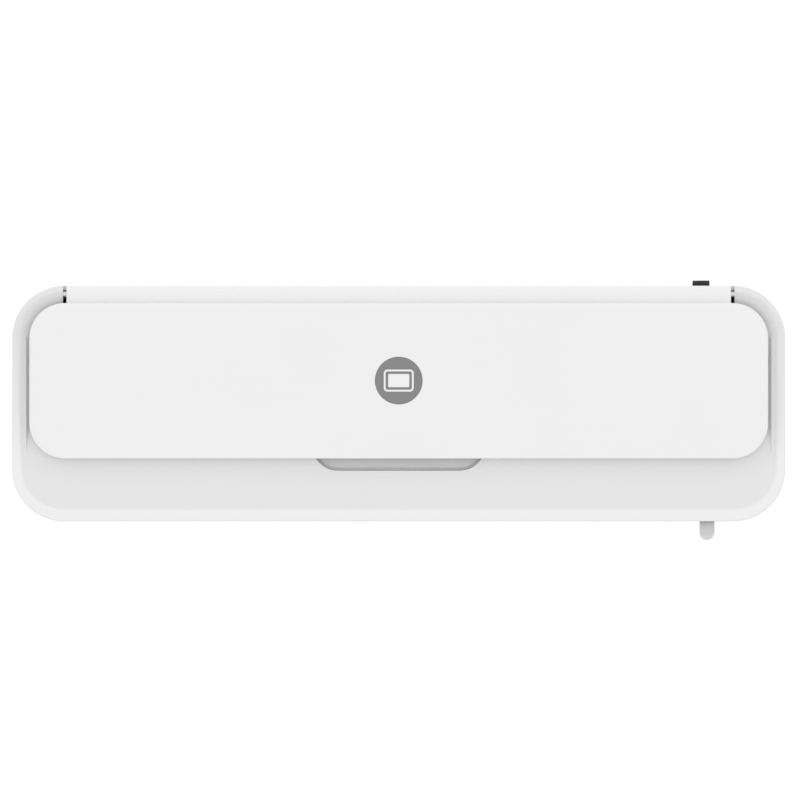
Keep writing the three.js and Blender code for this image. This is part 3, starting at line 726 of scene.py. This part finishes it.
def add_lid():
    points = lid_points()
    top = lid_high.z
    bottom = liner_low.z - 2
    rows = [(points, LID_SKIRT, top - LID_SKIN), (points, LID_SKIRT, bottom + 0.3),
            (points, LID_SKIRT - 0.3, bottom), (points, 0.4, bottom), (points, 0, bottom + 0.4)]
    width = growing(0.7, 4.6, -0.98, -0.3)
    height = growing(0.7, 1.5, -0.98, -0.3)
    rows += fillet(points, width, height, top, steps=9)
    lid = closed_stack("lid_cover", rows)
    barrel = hinge_barrel(liner_high.y + SEAM + 0.4, bottom, bottom + 0.7)
    posts = [cylinder(liner_high.z + SEAM, top - 1, 3, "Z", (x, y, 0), 24)
             for x in (-180, -60, 60, 180) for y in (-5, 42)]
    combine(lid, [barrel, *posts], "UNION")
    low, high, middle = box("lid_emblem")
    seat = cylinder(low.z - SEAM, top + 1, (high.x - low.x) / 2 + 0.1, "Z", middle, 96)
    pins = [cylinder(end - 10, end + 10, PIN_HOLE, "X", HINGE, 32) for end in (-BARREL_HALF, BARREL_HALF)]
    combine(lid, [seat, *pins], "DIFFERENCE")
    finish_piece(lid, "lid_panel", 0.2)


def add_liner():
    """The inner face of the lid: a plate with shallow ribs that guide a pouch when the lid is open."""
    points = outline(liner_low, liner_high, LID_CORNER - LID_SKIRT - SEAM, 16)
    rows = [(points, 0, liner_high.z), (points, 0, liner_low.z + 0.5), (points, 0.5, liner_low.z)]
    plate = closed_stack("feed_tray_liner", rows)
    ribs = [block("rib", (x - 1.1, liner_low.y + 9, liner_low.z - 0.5),
                  (x + 1.1, liner_high.y - 5, liner_low.z + 0.6), 0.35) for x in range(-168, 169, 28)]
    combine(plate, ribs, "UNION")
    finish_piece(plate, "lid_liner")


def flat_frame(name, middle, size, radius, band, low_z, high_z):
    """A rounded rectangular frame lying flat, or a plate if band is 0."""
    half = Vector((size[0] / 2, size[1] / 2, 0))
    outer = outline(middle - half, middle + half, radius, 8)
    if not band:
        return closed_stack(name, [(outer, 0, low_z), (outer, 0, high_z)])
    bm = bmesh.new()
    loops = [ring(bm, outer, *row) for row in ((0, low_z), (0, high_z), (band, high_z), (band, low_z))]
    bridge(bm, loops + loops[:1])
    return link_mesh(name, bm)


def add_emblem():
    """A plain disc with a raised picture of a sheet in a pouch."""
    low, high, middle = box("lid_emblem")
    radius = (high.x - low.x) / 2
    face = high.z - 0.15
    profile = [(low.z, 0.3), (low.z, radius), (high.z - 0.3, radius), (face, radius - 0.2), (face, 0.3)]
    finish_piece(turned("emblem_disc", profile, "Z", middle, 96), "lid_emblem")
    foot = face - 0.1
    pouch = flat_frame("emblem_pouch_outline", middle, (19, 14), 2.4, 1.2, foot, high.z)
    sheet = flat_frame("emblem_sheet", middle, (13.4, 8.4), 0.8, 0, foot, high.z)
    for part in (pouch, sheet):
        dress(part, "lid", "white_abs")


# ---- controls ----
def add_lever():
    """A flat bar, round at its tip in plan, that points forward and up from its hub."""
    low, high, middle = box("release_lever")
    _, _, shaft = box("release_shaft")
    axis = Vector((middle.x, shaft.y, shaft.z))
    half = (high.x - low.x) / 2
    thickness = 5
    tilt = radians(20)
    length = (axis.y - low.y - thickness / 2 * sin(tilt)) / cos(tilt)
    tip = [pi + pi * step / 24 for step in range(25)]
    plan = [(half, 0), (-half, 0)]
    plan += [(half * cos(angle), half - length + half * sin(angle)) for angle in tip]
    bm = bmesh.new()
    loops = [[bm.verts.new((x, y, z)) for x, y in plan] for z in (-thickness / 2, thickness / 2)]
    lever = tube("release_handle", bm, loops, Matrix.Translation(axis) @ Matrix.Rotation(-tilt, 4, "X"))
    combine(lever, [cylinder(low.x, high.x, 6, "X", axis, 48)], "UNION")
    combine(lever, [cylinder(low.x - 1, high.x + 1, 2.55, "X", axis, 48)], "DIFFERENCE")
    finish_piece(lever, "release_lever", 0.7)


def add_rocker():
    """The mains rocker: a concave button with the usual line and ring marks, in a framed bezel."""
    low, high, _ = box("rocker_bezel")
    bezel = block("rocker_frame", low, high, 0.3)
    window = block("window", low + Vector((0.9, 1.6, 0.9)), high + Vector((-0.9, 1, -0.9)))
    combine(bezel, [window], "DIFFERENCE")
    finish_piece(bezel, "rocker_bezel", 0.12)

    low, high, _ = box("rocker_button")
    half = (high.x - low.x) / 2
    lean = radians(9)
    face = 4.9
    reach = 6.2
    dip = 1.2
    profile = [(-4, -3), (2, -reach)]
    profile += [(face - dip * (1 - (step / 8) ** 2), reach * step / 8) for step in range(-8, 9)]
    profile += [(2, reach), (-4, 3)]
    place = Matrix.Translation(joint_place("rocker_tilt")) @ Matrix.Rotation(-lean, 4, "X")
    finish_piece(put(extruded("rocker_cap", profile, -half, half), place), "rocker_button", 0.3)

    line = block("rocker_line_mark", (-0.3, 0, -0.9), (0.3, 0.35, 0.9), 0.05)
    ring_profile = [(0, 0.65), (0, 1.1), (0.35, 1.1), (0.35, 0.65), (0, 0.65)]
    circle = turned("rocker_ring_mark", ring_profile, "Y", (0, 0, 0), 32)
    for mark, height, tip in ((line, 3.4, radians(15)), (circle, -3.4, radians(-15))):
        depth = face - dip * (1 - (height / reach) ** 2) - 0.22
        put(mark, place @ Matrix.Translation((0, depth, height)) @ Matrix.Rotation(tip, 4, "X"))
        dress(mark, "power_rocker", "white_abs")


def add_light_pipes():
    for node in ("power_light_pipe", "ready_light_pipe"):
        low, high, middle = box(node)
        radius = (high.x - low.x) / 2
        dome = [(low.y + radius * 0.35 * (1 - cos(angle)), radius * sin(angle)) for angle in quarter(6)[1:]]
        profile = [(low.y, 0.05), *dome, (high.y - 1.2, radius), (high.y - 1.2, radius * 0.75),
                   (high.y, radius * 0.75), (high.y, 0.05)]
        finish_piece(turned(node + "_lens", profile, "Y", middle, 40), node)


def add_slider():
    low, high, _ = box("mode_slider")
    knob = block("mode_knob_cap", low + Vector((0, 0.7, 0)), high, 0.35)
    grips = []
    for index in range(1, 6):
        x = low.x + index * (high.x - low.x) / 6
        grips.append(block("grip", (x - 0.3, low.y, low.z + 0.5), (x + 0.3, low.y + 1.5, high.z - 0.5), 0.14))
    combine(knob, grips, "UNION")
    finish_piece(knob, "mode_slider")


def add_gland():
    low, high, middle = box("cord_gland")
    outer = (high.x - low.x) / 2
    bore = 3.2
    neck = 5
    profile = [(low.y, bore), (low.y, outer - 0.5), (low.y + 0.5, outer)]
    profile += [(high.y - 2.5, outer), (high.y - 2.5, neck)]
    profile += [(high.y - 1.9, neck), (high.y - 1.7, neck - 0.5), (high.y - 1.2, neck - 0.5),
                (high.y - 1, neck), (high.y - 0.4, neck), (high.y, neck - 0.4)]
    profile += [(high.y, bore + 0.3), (high.y - 0.3, bore), (low.y, bore)]
    finish_piece(turned("cord_bushing", profile, "Y", middle, 56), "cord_gland")


# ---- fasteners, rods and pins ----
def add_screws():
    """Pan-head screws, driven from below, with a cross recess and a thread."""
    for corner in CORNERS:
        node = "housing_screw_" + corner
        low, high, middle = box(node)
        head = (high.x - low.x) / 2
        core = 1.05
        crest = 1.3
        under = low.z + 1.8
        profile = [(low.z, 0.1), (low.z, head - 0.9), (low.z + 0.25, head - 0.35),
                   (low.z + 0.8, head), (under, head), (under, crest)]
        pitch = 0.9
        turns = int((high.z - 1 - under) / pitch)
        for index in range(turns):
            start = under + 0.3 + index * pitch
            profile += [(start, core), (start + pitch * 0.4, crest), (start + pitch * 0.8, core)]
        profile += [(high.z - 0.1, core * 0.5), (high.z, 0.1)]
        screw = turned("case_screw_" + corner, profile, "Z", middle, 40)
        cross = []
        for long_x, long_y in ((2, 0.45), (0.45, 2)):
            reach = Vector((long_x, long_y, 0))
            bottom = Vector((middle.x, middle.y, low.z - 1))
            cross.append(block("cross", bottom - reach, bottom + reach + Vector((0, 0, 2.1))))
        combine(screw, cross, "DIFFERENCE")
        finish_piece(screw, node)


def rod_between(name, node, chamfer, grooves=()):
    """A round bar along x in a node's box, with chamfered ends and grooves at (x, width, depth)."""
    low, high, middle = box(node)
    radius = (high.z - low.z) / 2
    profile = [(low.x, 0.2), (low.x, radius - chamfer), (low.x + chamfer, radius)]
    for x, width, depth in grooves:
        profile += [(x - width / 2, radius), (x - width / 2, radius - depth),
                    (x + width / 2, radius - depth), (x + width / 2, radius)]
    profile += [(high.x - chamfer, radius), (high.x, radius - chamfer), (high.x, 0.2)]
    finish_piece(turned(name, profile, "X", middle, 40), node)


def add_rods():
    for side, sign in SIDES:
        node = "hinge_pin_" + side
        rod_between(node + "_turned", node, 0.4, [(sign * 217.5, 0.8, 0.3)])
    for end in ("front", "rear"):
        rod_between("tie_bar_" + end, "tie_rod_" + end, 0.5, [(-168, 1, 0.5), (168, 1, 0.5)])
    rod_between("release_bar", "release_shaft", 0.5, [(-181, 0.6, 0.4), (188, 0.7, 0.4)])
    rod_between("gearbox_shaft", "motor_output_shaft", 0.4)


# ---- rollers, bearings and springs ----
LOWER_AXIS = joint_place("lower_roller_spin")
UPPER_AXIS = joint_place("upper_roller_spin")
FEED_NORMAL = Vector(JOINTS["carriage_lift"]["axis"])
FEED_ALONG = Vector((0, FEED_NORMAL.z, -FEED_NORMAL.y))
NIP = (LOWER_AXIS + UPPER_AXIS) / 2
# Takes a place given along the tilted feed, from the rollers' nip, to the object's own axes.
FEED = Matrix.Translation((0, NIP.y, NIP.z)) @ Matrix(
    ((1, 0, 0), (0, *FEED_ALONG.yz), (0, *FEED_NORMAL.yz))).transposed().to_4x4()


def add_rollers():
    shoulder = 168
    journal = 3.5
    bevel = 0.4
    for level, axis in (("lower", LOWER_AXIS), ("upper", UPPER_AXIS)):
        node = level + "_roller_core"
        low, high, _ = box(node)
        core = (high.z - low.z) / 2
        groove = low.x + 2.2
        profile = [(low.x, 0.2), (low.x, journal - bevel), (low.x + bevel, journal),
                   (groove, journal), (groove, journal - 0.4),
                   (groove + 0.8, journal - 0.4), (groove + 0.8, journal),
                   (-shoulder, journal), (-shoulder, core - bevel), (-shoulder + bevel, core),
                   (shoulder - bevel, core), (shoulder, core - bevel), (shoulder, journal),
                   (high.x - bevel, journal), (high.x, journal - bevel), (high.x, 0.2)]
        finish_piece(turned(level + "_roller_shaft", profile, "X", axis, 64), node)
        add_sleeve(level, axis, core)


def add_sleeve(level, axis, core):
    """The rubber tube on a roller, with rounded ends and a faint waist at its middle."""
    node = level + "_roller_sleeve"
    low, high, _ = box(node)
    radius = (high.z - low.z) / 2
    inner = core + 0.05
    edge = 0.8
    bend = [(edge * (1 - cos(angle)), radius - edge * (1 - sin(angle))) for angle in quarter(4)]
    profile = [(low.x, inner)] + [(low.x + along, across) for along, across in bend]
    for step in range(1, 24):
        share = step / 24
        profile.append((low.x + edge + (high.x - low.x - 2 * edge) * share, radius - 0.04 * sin(pi * share)))
    profile += [(high.x - along, across) for along, across in reversed(bend)]
    profile += [(high.x, inner), (low.x, inner)]
    finish_piece(turned(level + "_rubber_sleeve", profile, "X", axis, 96), node)


def add_lower_bearings():
    for side, sign in SIDES:
        node = "lower_bearing_" + side
        low, high, _ = box(node)
        inner, outer = (low.x, high.x) if sign > 0 else (high.x, low.x)
        flange = inner + sign * 5.1
        bore = 3.58
        cut = sign * 0.3
        profile = [(inner, bore + 0.3), (inner, 6.7), (inner + cut, 7), (flange, 7),
                   (flange, 8.3), (flange + cut, 8.5), (outer - cut, 8.5), (outer, 8.2),
                   (outer, 4.9), (outer - cut * 2, 4.7), (outer - cut * 2, bore), (inner + cut, bore),
                   (inner, bore + 0.3)]
        finish_piece(turned("bush_" + side, profile, "X", LOWER_AXIS, 64), node)


def coil(name, centre, radius, wire, low, high, turns):
    """A compression spring whose end turns lie flat, as a closed tube along a helix about z."""
    bm = bmesh.new()
    up = Vector((0, 0, 1))
    steps = 28
    spokes = [2 * pi * side / 10 for side in range(10)]
    flat = 0.75
    loops = []
    for index in range(turns * steps + 1):
        turn = index / steps
        rise = min(max((turn - flat) / (turns - 2 * flat), 0), 1)
        outward = Vector((cos(2 * pi * turn), sin(2 * pi * turn), 0))
        middle = centre + outward * radius + up * (low + (high - low) * rise)
        loops.append([bm.verts.new(middle + wire * (outward * cos(spoke) + up * sin(spoke)))
                      for spoke in spokes])
    return tube(name, bm, loops)


def add_springs():
    """Each spring stands on a bearing block that rises with the carriage, under a keeper that stays."""
    wire = 0.4
    foot = 14.8
    head = 19.7
    radius = 3
    turns = 4
    for side, sign in SIDES:
        node = "pressure_spring_" + side
        centre = Vector((sign * 175.5, 0, 0))
        spring = coil("pressure_coil_" + side, centre, radius, wire, foot + wire, head - wire, turns)
        put(spring, FEED)
        spring.data.materials.append(MATERIALS[SLOT_OF[node]])
        smooth(spring)
        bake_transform(spring)
        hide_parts(node)


# ---- gears and motor ----
def involute(radius, base):
    roll = sqrt(max((radius / base) ** 2 - 1, 0))
    return roll - atan(roll)


def gear_profile(teeth, phase):
    """A spur gear of module 1 with involute flanks and 0.3 mm of backlash in the mesh."""
    pitch = teeth / 2
    base = pitch * cos(radians(20))
    root = pitch - 1.2
    tip = pitch + 0.92
    half_tooth = (pi - 0.3) / (4 * pitch)
    at_pitch = half_tooth + involute(pitch, base)
    radii = [root + (tip - root) * step / 5 for step in range(6)]
    flank = [(radius, at_pitch - involute(radius, base)) for radius in radii]
    tooth = [(radius, -angle) for radius, angle in flank] + flank[::-1]
    points = []
    for index in range(teeth):
        for radius, angle in tooth:
            turn = phase + 2 * pi * index / teeth + angle
            points.append((radius * cos(turn), radius * sin(turn)))
    return points


def add_gear(name, node, teeth, phase, axis, bore):
    """A moulded gear: toothed rim, thin web with holes, and a hub."""
    low, high, _ = box(node)
    profile = [(axis.y + y, axis.z + z) for y, z in gear_profile(teeth, phase)]
    wheel = extruded(name, profile, low.x, high.x)
    hub = bore + 1.8
    rim = teeth / 2 - 3
    cutters = [cylinder(low.x - 1, high.x + 1, bore, "X", axis, 48)]
    if rim - hub > 1.5:
        for face, inward in ((low.x, 1), (high.x, -1)):
            depth = face + inward * 1.5
            outside = face - inward
            web = [(outside, hub), (depth, hub), (depth, rim), (outside, rim), (outside, hub)]
            cutters.append(turned("web", web, "X", axis, 64))
    if rim - hub > 6:
        middle = (rim + hub) / 2
        for index in range(6):
            angle = phase + (index + 0.5) * pi / 3
            spot = (0, axis.y + middle * cos(angle), axis.z + middle * sin(angle))
            cutters.append(cylinder(low.x - 1, high.x + 1, 2, "X", spot, 32))
    combine(wheel, cutters, "DIFFERENCE")
    finish_piece(wheel, node, 0.12)


def add_gears():
    slope = atan(-FEED_NORMAL.y / FEED_NORMAL.z)
    motor_axis = joint_place("motor_spin")
    mesh_angle = radians(15)
    journal = 3.55
    add_gear("driven_gear", "drive_gear", 36, mesh_angle, LOWER_AXIS, journal)
    add_gear("lower_roller_gear", "lower_coupling_gear", 18, pi / 2 + slope, LOWER_AXIS, journal)
    add_gear("upper_roller_gear", "upper_coupling_gear", 18, -pi / 2 + pi / 18 + slope, UPPER_AXIS, journal)
    add_gear("pinion_gear", "motor_pinion", 20, mesh_angle + pi + pi / 20, motor_axis, 2.55)


def add_motor():
    """A synchronous gear motor: a pressed can with its crimped edge, a gearbox lid and tabs."""
    low, high, middle = box("gear_motor")
    radius = (high.z - low.z) / 2
    step = high.x - 8
    can = radius - 1.5
    profile = [(low.x, 0.3), (low.x, 7), (low.x + 0.5, 7.6), (low.x + 0.5, can - 4),
               (low.x, can - 3.4), (low.x, can - 1.2), (low.x + 0.4, can - 0.4),
               (low.x + 1.3, can), (step - 2.4, can), (step - 2.2, can - 0.6),
               (step - 1.6, can - 0.6), (step - 1.4, can), (step, can), (step, radius - 0.3),
               (step + 0.3, radius), (high.x - 0.6, radius), (high.x, radius - 0.6),
               (high.x, 8), (high.x - 0.4, 7.6), (high.x - 0.4, 0.3)]
    motor = turned("geared_motor", profile, "X", middle, 96)
    crimps = []
    for index in range(4):
        angle = radians(45 + 90 * index)
        spot = middle + Vector((0, cos(angle), sin(angle))) * (radius - 4.5)
        crimps.append(cylinder(low.x + 0.4, low.x + 1.5, 1.7, "X", spot, 24))
    top = middle.z + can
    tabs = [block("tab", (low.x + 3, y - 1.6, top - 1.2), (low.x + 8, y + 1.6, top + 1.2), 0.2)
            for y in (middle.y - 4, middle.y + 4)]
    combine(motor, crimps, "DIFFERENCE")
    combine(motor, tabs, "UNION")
    finish_piece(motor, "gear_motor", 0.12)


# ---- heating, guides and electronics ----
def add_guides():
    """Moulded guide plates with ribs along the feed."""
    count = 17
    for node, near, far in (("entry_guide", 53, 92), ("exit_guide", -42, -12)):
        low, high, _ = box(node)
        plate = block(node.replace("guide", "chute"), (low.x, near, -3.2), (high.x, far, -1.7), 0.3)
        ribs = []
        for index in range(count):
            x = low.x + (index + 0.5) * (high.x - low.x) / count
            ribs.append(block("rib", (x - 0.7, near + 1, -2), (x + 0.7, far - 1, -0.7), 0.25, 2))
        combine(plate, ribs, "UNION")
        finish_piece(put(plate, FEED), node)


def heater_profile(sign):
    """A plate's section: chamfered lead-ins towards the feed, and grooves on its outer face."""
    near = 11
    far = 51
    inner = sign * 1.5
    outer = sign * 5.5
    lead = 1.4
    floor = outer - sign * 0.8
    profile = [(near, outer), (near, inner + sign * lead), (near + lead, inner), (far - lead, inner),
               (far, inner + sign * lead), (far, outer)]
    for spot in (49.2, 47, 44.8, 42.6, 19.2, 17, 14.8):
        profile += [(spot + 0.5, outer), (spot + 0.5, floor), (spot - 0.5, floor), (spot - 0.5, outer)]
    return profile


def add_heaters():
    """Extruded plates, and notched mica cards; the heating wire behind them is not drawn."""
    for level, sign in (("lower", -1), ("upper", 1)):
        node = level + "_heater_plate"
        low, high, _ = box(node)
        plate = extruded(level + "_hot_plate", heater_profile(sign), low.x, high.x)
        finish_piece(put(plate, FEED), node, 0.15)
        node = level + "_heating_element"
        low, high, _ = box(node)
        near = 21
        far = 41
        faces = sorted((sign * 5.9, sign * 7.5))
        card = block(level + "_mica_card", (low.x, near, faces[0]), (high.x, far, faces[1]), 0.15)
        bm = bmesh.new()
        for index in range(36):
            x = low.x + (index + 0.5) * (high.x - low.x) / 36
            for edge in (near, far):
                add_box(bm, (x, edge, sum(faces) / 2), (1.2, 1.6, 8))
        combine(card, [link_mesh("notches", bm)], "DIFFERENCE")
        finish_piece(put(card, FEED), node)


def add_thermal_parts():
    """A snap-disc thermostat with its two tabs, and a thermal fuse with a crimped case."""
    _, _, middle = box("thermostat")
    profile = [(7.9, 0.2), (7.9, 6.6), (8.1, 7), (9.3, 7),
               (9.5, 6.4), (12, 6.4), (12.4, 6), (12.4, 0.2)]
    disc = turned("snap_thermostat", profile, "Z", (middle.x, 31, 0), 56)
    tabs = [block("tab", (x - 1, 29, 12.2), (x + 1, 33, 12.9), 0.1) for x in (middle.x - 3.2, middle.x + 3.2)]
    combine(disc, tabs, "UNION")
    finish_piece(put(disc, FEED), "thermostat")
    low, high, _ = box("thermal_fuse")
    wire = 0.5
    body = 1.75
    profile = [(low.x, 0.1), (low.x, wire), (low.x + 3, wire), (low.x + 3.6, body - 0.4), (low.x + 4, body),
               (high.x - 4.6, body), (high.x - 4.3, body - 0.35), (high.x - 4, body),
               (high.x - 3.4, body - 0.5), (high.x - 3, wire), (high.x, wire), (high.x, 0.1)]
    finish_piece(put(turned("fuse_capsule", profile, "X", (0, 31, 9.75), 32), FEED), "thermal_fuse")


def add_board():
    low, high, _ = box("control_board")
    board = block("circuit_board", low, high)
    holes = [cylinder(low.z - 1, high.z + 1, 1.3, "Z", (x, y, 0), 24)
             for x in (low.x + 2.2, high.x - 2.2) for y in (low.y + 2.2, high.y - 2.2)]
    combine(board, holes, "DIFFERENCE")
    finish_piece(board, "control_board", 0.1)

    relay_low, relay_high, _ = box("power_relay")
    relay = block("relay_case", relay_low, relay_high, 0.5)
    vent_place = relay_low + Vector((3, 3, 0))
    vent = cylinder(relay_high.z - 0.5, relay_high.z + 1, 1, "Z", vent_place, 20)
    combine(relay, [vent], "DIFFERENCE")
    finish_piece(relay, "power_relay")
    add_soldered_parts(high.z)


def add_soldered_parts(top):
    """Capacitors, a terminal block, a heat sink and a chip, standing on the board's top face."""
    for index, (x, y, radius, height) in enumerate(((212, 26, 4, 12), (222, 28, 3.2, 9), (231, 24, 2.5, 7))):
        end = top + height
        profile = [(top, 0.1), (top, radius - 0.2), (top + 0.4, radius), (top + 1.1, radius),
                   (top + 1.4, radius - 0.3), (top + 1.8, radius), (end - 0.4, radius),
                   (end, radius - 0.5), (end, 0.1)]
        can = turned(f"capacitor_{index + 1}", profile, "Z", (x, y, 0), 36)
        dress(can, "housing", "black_plastic")
    terminal = block("terminal_block", (210, -27, top), (234, -18, top + 9), 0.4)
    wells = []
    for x in (213, 219, 225, 231):
        wells.append(cylinder(top + 5, top + 12, 2, "Z", (x, -22.5, 0), 24))
        wells.append(block("mouth", (x - 1.8, -29, top + 1.5), (x + 1.8, -24, top + 4.5)))
    combine(terminal, wells, "DIFFERENCE")
    dress(terminal, "housing", "gear_plastic")
    sink = block("heat_sink", (231, -12, top), (233, 12, top + 18), 0.2)
    fins = [block("fin", (229, y - 0.5, top + 1), (236, y + 0.5, top + 18), 0.15, 1)
            for y in (-11, -6.6, -2.2, 2.2, 6.6, 11)]
    combine(sink, fins, "UNION")
    dress(sink, "housing", "aluminium")
    dress(block("control_chip", (212, -12, top + 0.2), (220, -7, top + 2), 0.2), "housing", "black_plastic")


def add_rest():
    """Materials and softened edges for the CAD pieces that stay."""
    for node, obj in frame["nodes"].items():
        if obj.hide_render:
            continue
        obj.data.materials.clear()
        obj.data.materials.append(MATERIALS[SLOT_OF[node]])
        soften(obj, 0.25)


add_camera()
add_lights()
add_floor()
add_base_casing()
add_top_casing()
add_finger_recess()
add_feet()
add_lid()
add_liner()
add_emblem()
add_lever()
add_rocker()
add_light_pipes()
add_slider()
add_gland()
add_screws()
add_rods()
add_rollers()
add_lower_bearings()
add_springs()
add_gears()
add_motor()
add_guides()
add_heaters()
add_thermal_parts()
add_board()
add_rest()
